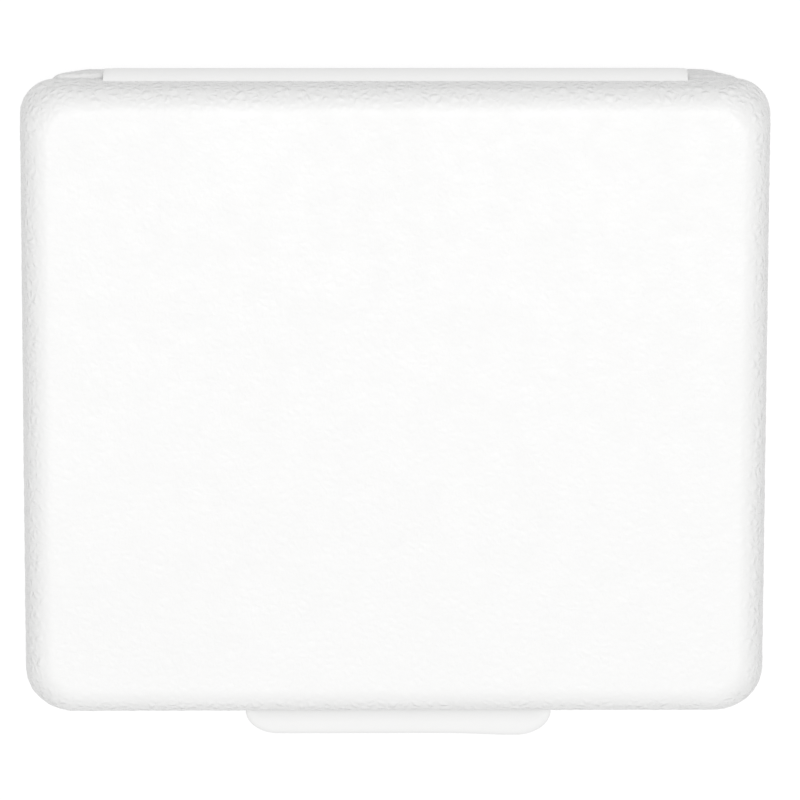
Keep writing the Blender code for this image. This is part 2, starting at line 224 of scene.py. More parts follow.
# Camera, worked out from the outline in the photograph
CAMERA_DISTANCE = 2.0
CAMERA_TILT = math.radians(13.5)  # off the vertical, to the hinge side
CAMERA_YAW = math.radians(-0.76)
CAMERA_ROLL = math.radians(-0.067)
FOCAL_PIXELS = 6875
CENTRE_X = 394.75
CENTRE_Y = 395.4
IMAGE_PIXELS = 800
SENSOR = 36  # its width in millimetres

# Light
SKY_STRENGTH = 0.64
LAMP_POWER = 41.3
LAMP_SIZE = 2.0
LAMP_PLACE = (0.12, 0.28, 3.0)
FLOOR_SIZE = 8
FLOOR_DROP = 0.2 * MM
FLOOR_GREY = 0.68
FLOOR_GLOW = 0.86  # what a camera ray sees of the floor besides its own shading
FLOOR_SHADED = 0.2

# Scales and roughness of the materials
CLOUD_SIZE = 22 * MM
GLOSS_SIZE = 6 * MM
WAVE_SIZE = 14 * MM
WAVE_DEPTH = 0.06 * MM
GRAINED_ROUGH = (0.34, 0.48)
GRAINED_FINE = 0.6 * MM
GRAINED_FINE_DEPTH = 0.04 * MM
SMOOTH_ROUGH = (0.28, 0.4)
SMOOTH_FINE = 0.8 * MM
SMOOTH_FINE_DEPTH = 0.006 * MM
SPONGE_ROUGH = (0.55, 0.9)
SPONGE_SHADE = (0.02, 0.25)  # product of both pores' distances at which the painted shade in the pores is full, and at which there is none
PAPER_ROUGH = (0.5, 0.75)
PAPER_CLOUD = 9 * MM
PAPER_TOOTH = 0.5 * MM
PAPER_TOOTH_DEPTH = 0.05 * MM
NOISE_MIDDLE = (0.5, 0.5, 0.5)

# Colours
PLASTIC_WHITE = (0.9, 0.9, 0.897)
PLASTIC_WHITE_DULL = (0.88, 0.88, 0.875)
# Painted shade for the creases of the grain
CREASE_PAINTED_SHADE = (0.7, 0.7, 0.697)
SPONGE_LIGHT = (0.83, 0.66, 0.28)
# Painted shade in the sponge's pores
SPONGE_PORE_PAINTED_SHADE = (0.52, 0.36, 0.11)
PAPER_LIGHT = (0.86, 0.83, 0.74)
PAPER_DARK = (0.79, 0.755, 0.65)


def smooth(share):
    """Eases a share between 0 and 1."""
    share = np.clip(share, 0, 1)
    return share * share * (3 - 2 * share)


# Meshes


def add_mesh(name, verts, faces, material):
    """Object of the given faces, turned to point out and shaded smooth between its crisp edges."""
    mesh = bpy.data.meshes.new(name)
    mesh.from_pydata(np.asarray(verts).tolist(), [], faces)
    bm = bmesh.new()
    bm.from_mesh(mesh)
    bmesh.ops.remove_doubles(bm, verts=bm.verts, dist=WELD)
    bmesh.ops.dissolve_degenerate(bm, edges=bm.edges, dist=WELD)
    bmesh.ops.recalc_face_normals(bm, faces=bm.faces)
    bm.to_mesh(mesh)
    bm.free()
    mesh.shade_smooth()
    mesh.set_sharp_from_angle(angle=SHARP_ANGLE)
    mesh.materials.append(material)
    obj = bpy.data.objects.new(name, mesh)
    bpy.context.scene.collection.objects.link(obj)
    return obj


def bands(first, second):
    """Faces between two closed loops of as many points, given as lists of their numbers."""
    first_next = [*first[1:], first[0]]
    second_next = [*second[1:], second[0]]
    return list(zip(first, first_next, second_next, second))


def loft(name, loops, material):
    """Closed body through loops of as many points each, with a face across its first and last loop."""
    count = len(loops[0])
    numbers = [list(range(ring * count, (ring + 1) * count)) for ring in range(len(loops))]
    faces = [face for first, second in zip(numbers, numbers[1:]) for face in bands(first, second)]
    faces += [tuple(numbers[0]), tuple(numbers[-1])]
    return add_mesh(name, np.concatenate(loops), faces, material)


def arc(centre, radius, start, turn, steps=ARC_STEPS):
    """Points on an arc in a plane, both ends included."""
    angles = start + turn * np.linspace(0, 1, steps + 1)
    return [(centre[0] + radius * math.cos(angle), centre[1] + radius * math.sin(angle)) for angle in angles]


def ring(inset, height):
    """Loop of the case's outline, drawn in by inset."""
    radius = CORNER_RADIUS - inset
    points = []
    for quarter, (side_x, side_y) in enumerate(((1, 1), (-1, 1), (-1, -1), (1, -1))):
        centre = (side_x * (HALF_WIDTH - CORNER_RADIUS), side_y * (HALF_DEPTH - CORNER_RADIUS))
        corner = arc(centre, radius, quarter * math.pi / 2, math.pi / 2, CORNER_STEPS)
        points += [(x, y, height) for x, y in corner]
    return np.array(points)


def grid_lines(core, reaches, step):
    """Places of grid lines across a piece: even over its core, then at the given reaches past it."""
    inner = np.linspace(-core, core, max(2, round(2 * core / step) + 1))
    return np.concatenate((-core - reaches[:0:-1], inner, core + reaches[1:]))


def grid_faces(rows, columns):
    """Faces of a regular grid of points, and the numbers of the points along its border."""
    number = np.arange(rows * columns).reshape(rows, columns)
    corners = (number[:-1, :-1], number[1:, :-1], number[1:, 1:], number[:-1, 1:])
    faces = np.stack([corner.ravel() for corner in corners], axis=1)
    border = [*number[:, 0], *number[-1, 1:], *number[-2::-1, -1], *number[0, -2:0:-1]]
    return faces, [int(point) for point in border]


def wrap(half_width, half_depth, corner_radius, reaches, step):
    """Regular grid over a rounded rectangle, whose outer lines run round its corners.

    Returns the nearest core point, the direction outwards from it and the reach past it for each grid point,
    with the faces and the numbers of the points along the border.
    """
    core = np.array((half_width - corner_radius, half_depth - corner_radius))
    lines = [grid_lines(length, reaches, step) for length in core]
    u, v = np.meshgrid(*lines, indexing="ij")
    flat = np.stack((u.ravel(), v.ravel()), axis=1)
    near = np.clip(flat, -core, core)
    past = flat - near
    reach = np.abs(past).max(axis=1)
    share = np.abs(past).min(axis=1) / np.maximum(reach, TINY)
    lean = share * math.pi / 4
    angle = np.where(np.abs(past[:, 0]) >= np.abs(past[:, 1]), lean, math.pi / 2 - lean)
    out = np.stack((np.cos(angle), np.sin(angle)), axis=1)
    out = out * np.where(past < 0, -1, 1)
    faces, border = grid_faces(*u.shape)
    return near, out, reach, faces.tolist(), border


def pebbles(points):
    """Height of the moulded grain at each point, from 0 in its creases to 1 on its pebbles."""
    noise.seed_set(GRAIN_SEED)
    heights = np.empty(len(points))
    for index, point in enumerate(points):
        cell = Vector(point) / GRAIN_CELL
        cell += GRAIN_WARP * noise.noise_vector(cell * GRAIN_WARP_RATE)
        nearest = noise.voronoi(cell)[0]
        heights[index] = (nearest[1] - nearest[0]) / GRAIN_CREASE
    return smooth(heights)


# Skins


def edge_section(height, edge_radius, draft, rim_edge):
    """Section of a skin from the edge of its flat to its rim: run, inset from the outline, drop and slope."""
    steep = math.pi / 2 - draft
    bend = edge_radius * steep
    upright = RIM_BAND - rim_edge - RIM_EASE / 2
    ease_drop = RIM_EASE * math.cos(steep) / draft
    wall = (height - edge_radius * (1 - math.cos(steep)) - ease_drop - upright - rim_edge) / math.sin(steep)
    marks = np.cumsum((0, bend, wall, RIM_EASE, upright, rim_edge * math.pi / 2))
    run = np.linspace(0, marks[-1], SECTION_STEPS)
    slope = np.interp(run, marks, (0, steep, steep, math.pi / 2, math.pi / 2, math.pi))
    pace = run[1]
    outward = np.concatenate(((0,), np.cumsum((np.cos(slope[1:]) + np.cos(slope[:-1])) / 2 * pace)))
    drop = np.concatenate(((0,), np.cumsum((np.sin(slope[1:]) + np.sin(slope[:-1])) / 2 * pace)))
    return run, outward.max() - outward, drop, slope


def skin(name, flat_height, rim_height, edge_radius, draft, rim_edge, corner_growth, rim_growth, material):
    """Grained outer skin: a flat, round edges, drafted walls and corners that grow rounder to the flat."""
    up = math.copysign(1, flat_height - rim_height)
    run, inset, drop, slope = edge_section(abs(flat_height - rim_height), edge_radius, draft, rim_edge)
    flat_reach = CORNER_RADIUS - inset[0]
    total = flat_reach + run[-1]
    even = np.linspace(0, total - RIM_ZONE, round((total - RIM_ZONE) / EDGE_STEP) + 1)
    reaches = np.concatenate((even, np.linspace(total - RIM_ZONE, total, RIM_STEPS + 1)[1:]))
    near, out, reach, faces, border = wrap(HALF_WIDTH, HALF_DEPTH, CORNER_RADIUS, reaches, CORE_STEP)

    core = np.array((HALF_WIDTH - CORNER_RADIUS, HALF_DEPTH - CORNER_RADIUS))
    slope_rise = drop[-1] - RIM_BAND
    at_rim = np.where(near[:, 1] < 0, *rim_growth)

    def place(reach, depth):
        """Points and normals on the section, depth below the skin's surface."""
        past = np.maximum(reach - flat_reach, 0)
        tilt = np.interp(past, run, slope)
        fall = np.interp(past, run, drop)
        growth = at_rim + (corner_growth - at_rim) * np.clip(1 - fall / slope_rise, 0, 1)
        on_flat = reach * (1 + corner_growth / flat_reach)
        radial = np.where(reach < flat_reach, on_flat, CORNER_RADIUS - np.interp(past, run, inset) + growth)
        drawn = near * (1 - growth[:, None] / core)
        flat = drawn + out * (radial - depth * np.sin(tilt))[:, None]
        level = flat_height - up * (fall + depth * np.cos(tilt))
        normals = np.column_stack((out * np.sin(tilt)[:, None], up * np.cos(tilt)))
        return np.column_stack((flat, level)), normals

    points, normals = place(reach, 0)
    steepness = np.arccos(np.clip(np.abs(normals[:, 2]), 0, 1)) / GRAIN_FULL_SLOPE
    keep = GRAIN_ON_FLAT + (1 - GRAIN_ON_FLAT) * smooth(steepness)
    keep *= smooth((total - GRAIN_END - reach) / GRAIN_FADE) * hinge_calm(points)
    verts = points + normals * (GRAIN_DEPTH * (pebbles(points) - GRAIN_LEVEL) * keep)[:, None]
    verts[:, 1] += ear_step(points) * (up < 0)

    border_near, border_out = near[border], out[border]
    loops = []
    rim_face = border_near + border_out * (CORNER_RADIUS - RIM_FACE)
    loops.append(np.column_stack((rim_face, np.full(len(border), rim_height))))
    behind = np.linspace(total - rim_edge * math.pi / 2 - RIM_BAND / 2, flat_reach, ARC_STEPS)
    for inner_reach in behind:
        inner, _ = place(np.full(len(reach), inner_reach), SKIN_WALL)
        loops.append(inner[border])
    numbers = [border]
    start = len(verts)
    for _ in loops:
        numbers.append(list(range(start, start + len(border))))
        start += len(border)
    for first, second in zip(numbers, numbers[1:]):
        faces += bands(first, second)
    faces.append(tuple(numbers[-1]))
    return add_mesh(name, np.concatenate((verts, *loops)), faces, material)


def hinge_calm(points):
    """Leaves the grain out of the walls behind and below the hinge strip."""
    beside = smooth((np.abs(points[:, 0]) - BAND_HIGH.x) / GRAIN_FADE)
    above = smooth((points[:, 2] - LID_FOLD.z) / GRAIN_FADE)
    before = smooth((HALF_DEPTH - CORNER_RADIUS - points[:, 1]) / GRAIN_FADE)
    return np.maximum.reduce((beside, above, before))


def ear_step(points):
    """How far the base's back stands out beside the hinge strip, most at its rim."""
    past = np.abs(points[:, 0]) - BAND_HIGH.x
    beside = smooth((past + EAR_LAP) / EAR_RAMP)
    behind = smooth((points[:, 1] - HALF_DEPTH) / EAR_DEPTH + 1)
    close = smooth(1 - past / EAR_SHOULDER_RUN) * (past > -EAR_SHOULDER_LAP)
    high = smooth((points[:, 2] - BASE_FOLD.z) / (BASE_RIM - BASE_FOLD.z))
    sideways = EAR_PROUD - EAR_LEAN * np.sign(points[:, 0])
    proud = sideways * points[:, 2] / BASE_RIM + EAR_SHOULDER * close * high
    return proud * beside * behind


# Inner skins


def liner(name, flange, floor, profile, material):
    """Inner skin: a flange with the given profile, a pocket down to its floor and an even wall behind."""
    sink = math.copysign(1, floor - flange)
    lip_inset = LINER_INSET + OUTER_LAND + GROOVE_WIDTH + INNER_LAND
    quarter = sink * math.pi / 2
    lip = arc((lip_inset - POCKET_LIP, flange + sink * POCKET_LIP), POCKET_LIP, -quarter, quarter)
    centre = (lip_inset + POCKET_RADIUS, floor - sink * POCKET_RADIUS)
    bend = arc(centre, POCKET_RADIUS, math.pi, -quarter)
    behind_bend = arc(centre, POCKET_RADIUS + LINER_WALL, math.pi, -quarter)
    behind_flange = flange + sink * (GROOVE_DEPTH + LINER_WALL)
    front = [(LINER_INSET, flange), *profile, *lip, *bend]
    behind = [*behind_bend[::-1], (lip_inset - LINER_WALL, behind_flange), (LINER_INSET, behind_flange)]
    loops = [ring(inset, height) for inset, height in (front[::-1] + behind[::-1])]
    return loft(name, loops, material)


def groove_profile(flange):
    """Seal groove in the base's flange, with soft edges."""
    start = LINER_INSET + OUTER_LAND
    end = start + GROOVE_WIDTH
    bottom = flange - GROOVE_DEPTH
    quarter = math.pi / 2
    return [
        *arc((start - GROOVE_EDGE, flange - GROOVE_EDGE), GROOVE_EDGE, quarter, -quarter, GROOVE_STEPS),
        *arc((start + GROOVE_EDGE, bottom + GROOVE_EDGE), GROOVE_EDGE, math.pi, quarter, GROOVE_STEPS),
        *arc((end - GROOVE_EDGE, bottom + GROOVE_EDGE), GROOVE_EDGE, -quarter, quarter, GROOVE_STEPS),
        *arc((end + GROOVE_EDGE, flange - GROOVE_EDGE), GROOVE_EDGE, math.pi, -quarter, GROOVE_STEPS),
    ]


def bead_profile(flange):
    """Round seal bead that stands out below the lid's flange."""
    middle = LINER_INSET + OUTER_LAND + GROOVE_WIDTH / 2
    centre = (middle, flange + BEAD_RADIUS - BEAD_HEIGHT)
    rise = math.asin((BEAD_RADIUS - BEAD_HEIGHT) / BEAD_RADIUS)
    return arc(centre, BEAD_RADIUS, math.pi + rise, math.pi - 2 * rise)


# Hinge strip


def placed(section, x):
    """Loop of a (y, z) section at x."""
    return np.column_stack((np.full(len(section), x), section))


def strip_face():
    """Upper half of the strip's outer face, from its fold line to its nose, as (y, z) points and slopes."""
    rise = LID_FOLD.z - PARTING
    nose = STRIP_NOSE_RADIUS * (math.pi / 2 - STRIP_NOSE_SLOPE)
    nose_drop = STRIP_NOSE_RADIUS * math.cos(STRIP_NOSE_SLOPE)
    turn = STRIP_NOSE_SLOPE - STRIP_ROOT_SLOPE
    flank = (rise - nose_drop) * turn / (math.cos(STRIP_ROOT_SLOPE) - math.cos(STRIP_NOSE_SLOPE))
    run = np.concatenate((np.linspace(0, flank, FLANK_STEPS), flank + np.linspace(0, nose, ARC_STEPS)[1:]))
    slope = np.interp(run, (0, flank, flank + nose), (STRIP_ROOT_SLOPE, STRIP_NOSE_SLOPE, math.pi / 2))
    middle = (slope[1:] + slope[:-1]) / 2
    pace = np.diff(run)
    outward = np.concatenate(((0,), np.cumsum(np.cos(middle) * pace)))
    fall = np.concatenate(((0,), np.cumsum(np.sin(middle) * pace)))
    points = np.column_stack((BAND_HIGH.y + STRIP_OVERHANG - outward[-1] + outward, LID_FOLD.z - fall))
    return points, slope


def mirrored(points):
    """The same (y, z) points on the other side of the parting plane, in reverse order."""
    return np.array([(y, 2 * PARTING - z) for y, z in points[::-1]])


def strip_edge():
    """Middle and radius of the strip's round edge at the lid."""
    points, _ = strip_face()
    lean = (math.sin(STRIP_ROOT_SLOPE), math.cos(STRIP_ROOT_SLOPE))
    radius = STRIP_WALL / 2
    return (points[0][0] - lean[0] * radius, points[0][1] - lean[1] * radius), radius


def hinge_strip(material):
    """Strip with a blunt nose and two leaning faces, round at both folds and lower at its ends."""
    outside, slope = strip_face()
    lean = np.column_stack((np.sin(slope), np.cos(slope)))
    inside = outside - lean * STRIP_WALL
    between = np.concatenate((inside + lean * STRIP_WALL / 2, mirrored(inside + lean * STRIP_WALL / 2)))
    middle, radius = strip_edge()
    edge = arc(middle, radius, math.pi / 2 - STRIP_ROOT_SLOPE, math.pi)[1:-1]
    upper = np.concatenate((inside[::-1], edge[::-1], outside[:-1]))
    section = np.concatenate((upper, mirrored(upper)))
    nearest = between[np.linalg.norm(section[:, None] - between[None], axis=2).argmin(axis=1)]
    thin = 1 - STRIP_END_EDGE / STRIP_WALL
    half = (
        (0, thin, STRIP_END_TIP),
        (STRIP_END_SLOPE, 1, STRIP_END_LOW),
        (STRIP_END_LENGTH, 1, STRIP_END_LOW),
        (STRIP_END_LENGTH + STRIP_END_EASE, 1, 0),
    )
    places = [(BAND_LOW.x + inset, *rest) for inset, *rest in half]
    places += [(BAND_HIGH.x - inset, *rest) for inset, *rest in half[::-1]]
    loops = []
    for x, full, lowered in places:
        points = nearest + (section - nearest) * full
        points[:, 0] -= lowered * (points[:, 0] - outside[0][0]) / (outside[-1][0] - outside[0][0])
        loops.append(placed(points, x))
    return loft("hinge_strip", loops, material)


def hinge_root(name, side, material):
    """Wedge that carries the strip's face on to the wall, hollowed for the strip's round edge."""
    points, _ = strip_face()
    tip = points[0]
    middle, radius = strip_edge()
    turn = math.pi / 2 + STRIP_ROOT_SLOPE
    hollow = arc(middle, radius + ROOT_GAP, math.pi - turn + ROOT_TIP_TURN, turn - ROOT_TIP_TURN)
    climb = math.tan(STRIP_ROOT_SLOPE)
    foot = tip[1] + (tip[0] - HALF_DEPTH + ROOT_SINK) * climb
    buried = HALF_DEPTH - ROOT_SINK
    section = np.array([*hollow, (buried, hollow[-1][1]), (buried, foot)])
    if side < 0:
        section = mirrored(section)
    loops = [placed(section, x) for x in (BAND_LOW.x, BAND_HIGH.x)]
    return loft(name, loops, material)


# Front tab and its snap


def tab_edge(x):
    """Outer edge of the tab at x, in y."""
    past = np.abs(x - TAB_MIDDLE) - (TAB_HALF - TAB_CORNER_LENGTH)
    share = np.clip(past / TAB_CORNER_LENGTH, 0, 1)
    round_off = TAB_CORNER_DEPTH * (1 - np.sqrt(1 - share**2))
    slack = TAB_SAG * np.exp(-(((x - TAB_SAG_AT) / TAB_SAG_BREADTH) ** 2))
    return TAB_LOW.y - TAB_OVERHANG + round_off - slack


def pull_tab(material):
    """Thin tab with full-round edges and a hollow root that climbs up the wall."""
    half = TAB_THICKNESS / 2
    ends = (TAB_MIDDLE - TAB_HALF, TAB_MIDDLE + TAB_HALF)
    lean = np.linspace(0, math.pi / 2, CORNER_STEPS + 1)
    corner = TAB_CORNER_LENGTH * (1 - np.cos(lean))
    columns = round((ends[1] - ends[0]) / TAB_STEP_ACROSS)
    middle = np.linspace(ends[0] + corner[-1], ends[1] - corner[-1], columns)
    across = np.concatenate((ends[0] + corner[:-1], middle, (ends[1] - corner[:-1])[::-1]))
    root = -HALF_DEPTH + TAB_ROOT_SINK
    rows = round((root - TAB_LOW.y) / TAB_STEP)
    crowded = np.sin(np.linspace(0, math.pi / 2, ARC_STEPS))[1:]
    to_edge = TAB_PLAIN_SHARE + (1 - TAB_PLAIN_SHARE) * crowded
    share = np.concatenate((np.linspace(0, TAB_PLAIN_SHARE, rows), to_edge))
    x, along = np.meshgrid(across, share, indexing="ij")
    edge = tab_edge(x)
    y = root + (edge - root) * along
    inner = np.stack((x.ravel(), y.ravel()), axis=1)
    outline = np.array([(ends[0], root), *zip(across, tab_edge(across)), (ends[1], root)])
    margin = distance_to(inner, outline).reshape(x.shape)
    thick = half * np.sqrt(1 - (1 - np.clip(margin / TAB_EDGE, 0, 1)) ** 2)
    out = root - y
    hollow = 1 - np.sqrt(1 - np.clip(1 - out / TAB_FILLET_REACH, 0, 1) ** 2)
    to_end = np.minimum(x - ends[0], ends[1] - x)
    fillet = TAB_FILLET_RISE * hollow * smooth(to_end / TAB_FILLET_FADE)
    level = TAB_FOLD.z - np.maximum(-HALF_DEPTH - y, 0) * math.tan(TAB_DROOP)
    top = np.stack((x, y, level + thick + fillet), axis=2)
    bottom = np.stack((x, y, level - thick), axis=2)
    return slab("pull_tab", top, bottom, material)


def distance_to(points, line):
    """Distance from each point to a line of points."""
    best = np.full(len(points), np.inf)
    for start, end in zip(line, line[1:]):
        along = end - start
        share = np.clip((points - start) @ along / max(along @ along, TINY), 0, 1)
        best = np.minimum(best, np.linalg.norm(points - start - share[:, None] * along, axis=1))
    return best


def slab(name, top, bottom, material):
    """Closed body between two grids of points over one another. Points that meet are joined."""
    rows, columns, _ = top.shape
    faces, border = grid_faces(rows, columns)
    sides = bands(border, [point + rows * columns for point in border])
    verts = np.concatenate((top.reshape(-1, 3), bottom.reshape(-1, 3)))
    return add_mesh(name, verts, [*faces.tolist(), *(faces + rows * columns).tolist(), *sides], material)


def bar(name, section, material):
    """Bar of a (y, z) section across the snap's width, with soft edges."""
    ends = (TAB_FOLD.x - SNAP_WIDTH / 2, TAB_FOLD.x + SNAP_WIDTH / 2)
    made = loft(name, [placed(section, x) for x in ends], material)
    soft = made.modifiers.new("soft edges", "BEVEL")
    soft.width = SNAP_EDGE
    soft.segments = SNAP_STEPS
    return made


def catch_ridge(material):
    top = PARTING - CATCH_DROP
    face = -HALF_DEPTH - CATCH_REACH
    root = -HALF_DEPTH + SKIN_WALL / 2
    ramp = CATCH_HEIGHT / 2
    section = [
        (root, top - CATCH_HEIGHT),
        (root, top),
        (face + ramp, top),
        (face, top - ramp),
        (face, top - CATCH_HEIGHT),
    ]
    return bar("catch_ridge", np.array(section), material)


def tab_hook(material):
    face = -HALF_DEPTH - CATCH_REACH
    inside = face - SNAP_CLEARANCE
    outside = inside - SNAP_WALL
    tip = face + SNAP_BITE
    barb_top = PARTING - CATCH_DROP - CATCH_HEIGHT - SNAP_CLEARANCE
    barb_bottom = barb_top - SNAP_WALL
    section = [
        (outside, TAB_FOLD.z),
        (outside, barb_bottom),
        (inside, barb_bottom),
        (tip, barb_top - SNAP_WALL / 2),
        (tip, barb_top),
        (inside, barb_top),
        (inside, TAB_FOLD.z),
    ]
    return bar("tab_hook", np.array(section), material)


# Sponge and sheet


def pillow(name, low, high, corner_radius, edge_radius, step, relief, material):
    """Closed slab with round edges, whose surface is moved along its normals by relief(points)."""
    half_height = (high.z - low.z) / 2
    middle = (high.z + low.z) / 2
    bend = edge_radius * math.pi / 2
    flat_reach = corner_radius - edge_radius
    total = flat_reach + bend + half_height - edge_radius
    rows = max(FEWEST_EDGE_STEPS, 2 * round(total / step))  # twice as fine as the flat
    reaches = np.linspace(0, total, rows + 1)
    near, out, reach, faces, border = wrap(high.x, high.y, corner_radius, reaches, step)
    past = np.maximum(reach - flat_reach, 0)
    tilt = np.minimum(past / edge_radius, math.pi / 2)
    below = np.maximum(past - bend, 0)
    radial = np.minimum(reach, flat_reach) + edge_radius * np.sin(tilt)
    level = half_height - edge_radius * (1 - np.cos(tilt)) - below
    halves = []
    for side in (1, -1):
        points = np.column_stack((near + out * radial[:, None], middle + side * level))
        normals = np.column_stack((out * np.sin(tilt)[:, None], side * np.cos(tilt)))
        halves.append(points + normals * relief(points)[:, None])
    upper, lower = halves
    lower[border] = upper[border]
    inner = np.setdiff1d(np.arange(len(upper)), border)
    renumber = np.arange(len(lower))
    renumber[inner] = len(upper) + np.arange(len(inner))
    faces_below = [[int(renumber[point]) for point in face] for face in faces]
    return add_mesh(name, np.concatenate((upper, lower[inner])), faces + faces_below, material)


def sponge_relief(points):
    """Open pores of the sponge, always below its plain surface."""
    depths = np.empty(len(points))
    for index, point in enumerate(points):
        cell = Vector(point) / SPONGE_PORE
        nearest = noise.voronoi(cell)[0]
        depths[index] = 1 - nearest[0]
    return -SPONGE_PORE_DEPTH * smooth(depths)


def sheet_lift(points):
    """Gentle waves in the damp sheet, and the lift of its corners."""
    lifts = np.empty(len(points))
    for index, point in enumerate(points):
        lifts[index] = noise.noise(Vector((point[0], point[1], 0)) / SHEET_WAVE)
    corner = np.abs(points[:, 0]) / SHEET_HIGH.x * np.abs(points[:, 1]) / SHEET_HIGH.y
    curl = smooth((corner - SHEET_CURL_FROM) / (1 - SHEET_CURL_FROM))
    return SHEET_WAVE_HEIGHT * (lifts + 1) / 2 + SHEET_CURL * curl


def paper_sheet(material):
    reaches = np.linspace(0, SHEET_CORNER, SHEET_EDGE_STEPS + 1)
    near, out, reach, faces, border = wrap(SHEET_HIGH.x, SHEET_HIGH.y, SHEET_CORNER, reaches, SHEET_STEP)
    flat = near + out * reach[:, None]
    lower = np.column_stack((flat, SHEET_LOW.z + sheet_lift(flat)))
    upper = lower + np.array((0, 0, SHEET_THICKNESS))
    faces_above = [[point + len(lower) for point in face] for face in faces]
    edge = bands(border, [point + len(lower) for point in border])
    return add_mesh("paper_sheet", np.concatenate((lower, upper)), faces + faces_above + edge, material)


# Materials


def add_node(tree, kind, inputs=(), **settings):
    made = tree.nodes.new(kind)
    for name, value in settings.items():
        setattr(made, name, value)
    for name, value in inputs:
        made.inputs[name].default_value = value
    return made


def texture(tree, kind, feature, **inputs):
    """Procedural texture in the piece's own coordinates, whose features are about the given length across."""
    place = add_node(tree, "ShaderNodeTexCoord")
    made = add_node(tree, kind, [("Scale", 1 / feature), *inputs.items()])
    tree.links.new(place.outputs["Object"], made.inputs["Vector"])
    return made


def spread(tree, source, low, high, from_low=0.3, from_high=0.7, ease="LINEAR"):
    """Stretches a texture's middle range to the values low to high."""
    made = add_node(
        tree,
        "ShaderNodeMapRange",
        [("From Min", from_low), ("From Max", from_high), ("To Min", low), ("To Max", high)],
        interpolation_type=ease,
    )
    tree.links.new(source, made.inputs["Value"])
    return made.outputs["Result"]


def tint(tree, source, first, second):
    """Mixes two colours by a share."""
    made = add_node(tree, "ShaderNodeMixRGB", [("Color1", (*first, 1)), ("Color2", (*second, 1))])
    tree.links.new(source, made.inputs["Fac"])
    return made.outputs["Color"]


def bump(tree, source, depth, under=None):
    made = add_node(tree, "ShaderNodeBump", [("Strength", 1), ("Distance", depth)])
    tree.links.new(source, made.inputs["Height"])
    if under:
        tree.links.new(under, made.inputs["Normal"])
    return made.outputs["Normal"]


def new_material(name):
    material = bpy.data.materials.new(name)
    material.use_nodes = True
    return material, material.node_tree, material.node_tree.nodes["Principled BSDF"]


def plastic(name, rough, relief, fine, fine_depth):
    """White moulded plastic: faint clouds in colour and gloss, a relief and a fine surface grain on it."""
    material, tree, shader = new_material(name)
    clouds = texture(tree, "ShaderNodeTexNoise", CLOUD_SIZE, Detail=3)
    gloss = texture(tree, "ShaderNodeTexNoise", GLOSS_SIZE, Detail=4)
    grain = texture(tree, "ShaderNodeTexNoise", fine, Detail=3, Roughness=0.6)
    white = tint(tree, clouds.outputs["Fac"], PLASTIC_WHITE, PLASTIC_WHITE_DULL)
    colour, normal = relief(tree, white)
    links = tree.links
    links.new(colour, shader.inputs["Base Color"])
    links.new(spread(tree, gloss.outputs["Fac"], *rough), shader.inputs["Roughness"])
    links.new(bump(tree, grain.outputs["Fac"], fine_depth, normal), shader.inputs["Normal"])
    return material


def upward(tree, source):
    """Third part of a vector."""
    parts = add_node(tree, "ShaderNodeSeparateXYZ")
    tree.links.new(source, parts.inputs[0])
    return parts.outputs["Z"]


def worm_relief(tree, white):
    """Bent pebbles with painted shade in the creases between them, weaker on the flats and stronger on the
    base than on the lid. Returns the colour and normals.
    """
    bend = texture(tree, "ShaderNodeTexNoise", WORM_CELL, Detail=2)
    place = add_node(tree, "ShaderNodeTexCoord")
    centred = add_node(tree, "ShaderNodeVectorMath", operation="SUBTRACT")
    centred.inputs[1].default_value = NOISE_MIDDLE
    scaled = add_node(tree, "ShaderNodeVectorMath", operation="SCALE")
    scaled.inputs["Scale"].default_value = WORM_WARP
    moved = add_node(tree, "ShaderNodeVectorMath", operation="ADD")
    cells = add_node(tree, "ShaderNodeTexVoronoi", [("Scale", 1 / WORM_CELL)], feature="DISTANCE_TO_EDGE")
    tree.links.new(bend.outputs["Color"], centred.inputs[0])
    tree.links.new(centred.outputs["Vector"], scaled.inputs[0])
    tree.links.new(place.outputs["Object"], moved.inputs[0])
    tree.links.new(scaled.outputs["Vector"], moved.inputs[1])
    tree.links.new(moved.outputs["Vector"], cells.inputs["Vector"])
    height = spread(tree, cells.outputs["Distance"], 0, 1, 0, WORM_CREASE, "SMOOTHSTEP")

    flatness = add_node(tree, "ShaderNodeMath", operation="ABSOLUTE")
    tree.links.new(upward(tree, place.outputs["Normal"]), flatness.inputs[0])
    strength = spread(tree, flatness.outputs["Value"], 1, WORM_ON_FLAT, WORM_FULL_BELOW, 1)

    # More painted shade in the base's creases than in the lid's, set by height
    level = upward(tree, place.outputs["Object"])
    most = spread(tree, level, WORM_PAINTED_SHADE_BASE, WORM_PAINTED_SHADE, BASE_RIM, LID_RIM)
    share = spread(tree, height, 1, 0, 0, 1)
    for factor in (most, strength):
        product = add_node(tree, "ShaderNodeMath", operation="MULTIPLY")
        tree.links.new(share, product.inputs[0])
        tree.links.new(factor, product.inputs[1])
        share = product.outputs["Value"]
    # Painted shade: the colour darkens towards the crease grey in the creases
    shaded = tint(tree, share, PLASTIC_WHITE, CREASE_PAINTED_SHADE)
    tree.links.new(white, shaded.node.inputs["Color1"])
    normal = bump(tree, height, WORM_DEPTH)
    tree.links.new(strength, normal.node.inputs["Strength"])
    return shaded, normal


def slow_relief(tree, white):
    """Slow waves of a smooth moulding. Returns its colour and normals."""
    waves = texture(tree, "ShaderNodeTexNoise", WAVE_SIZE, Detail=2)
    return white, bump(tree, waves.outputs["Fac"], WAVE_DEPTH)


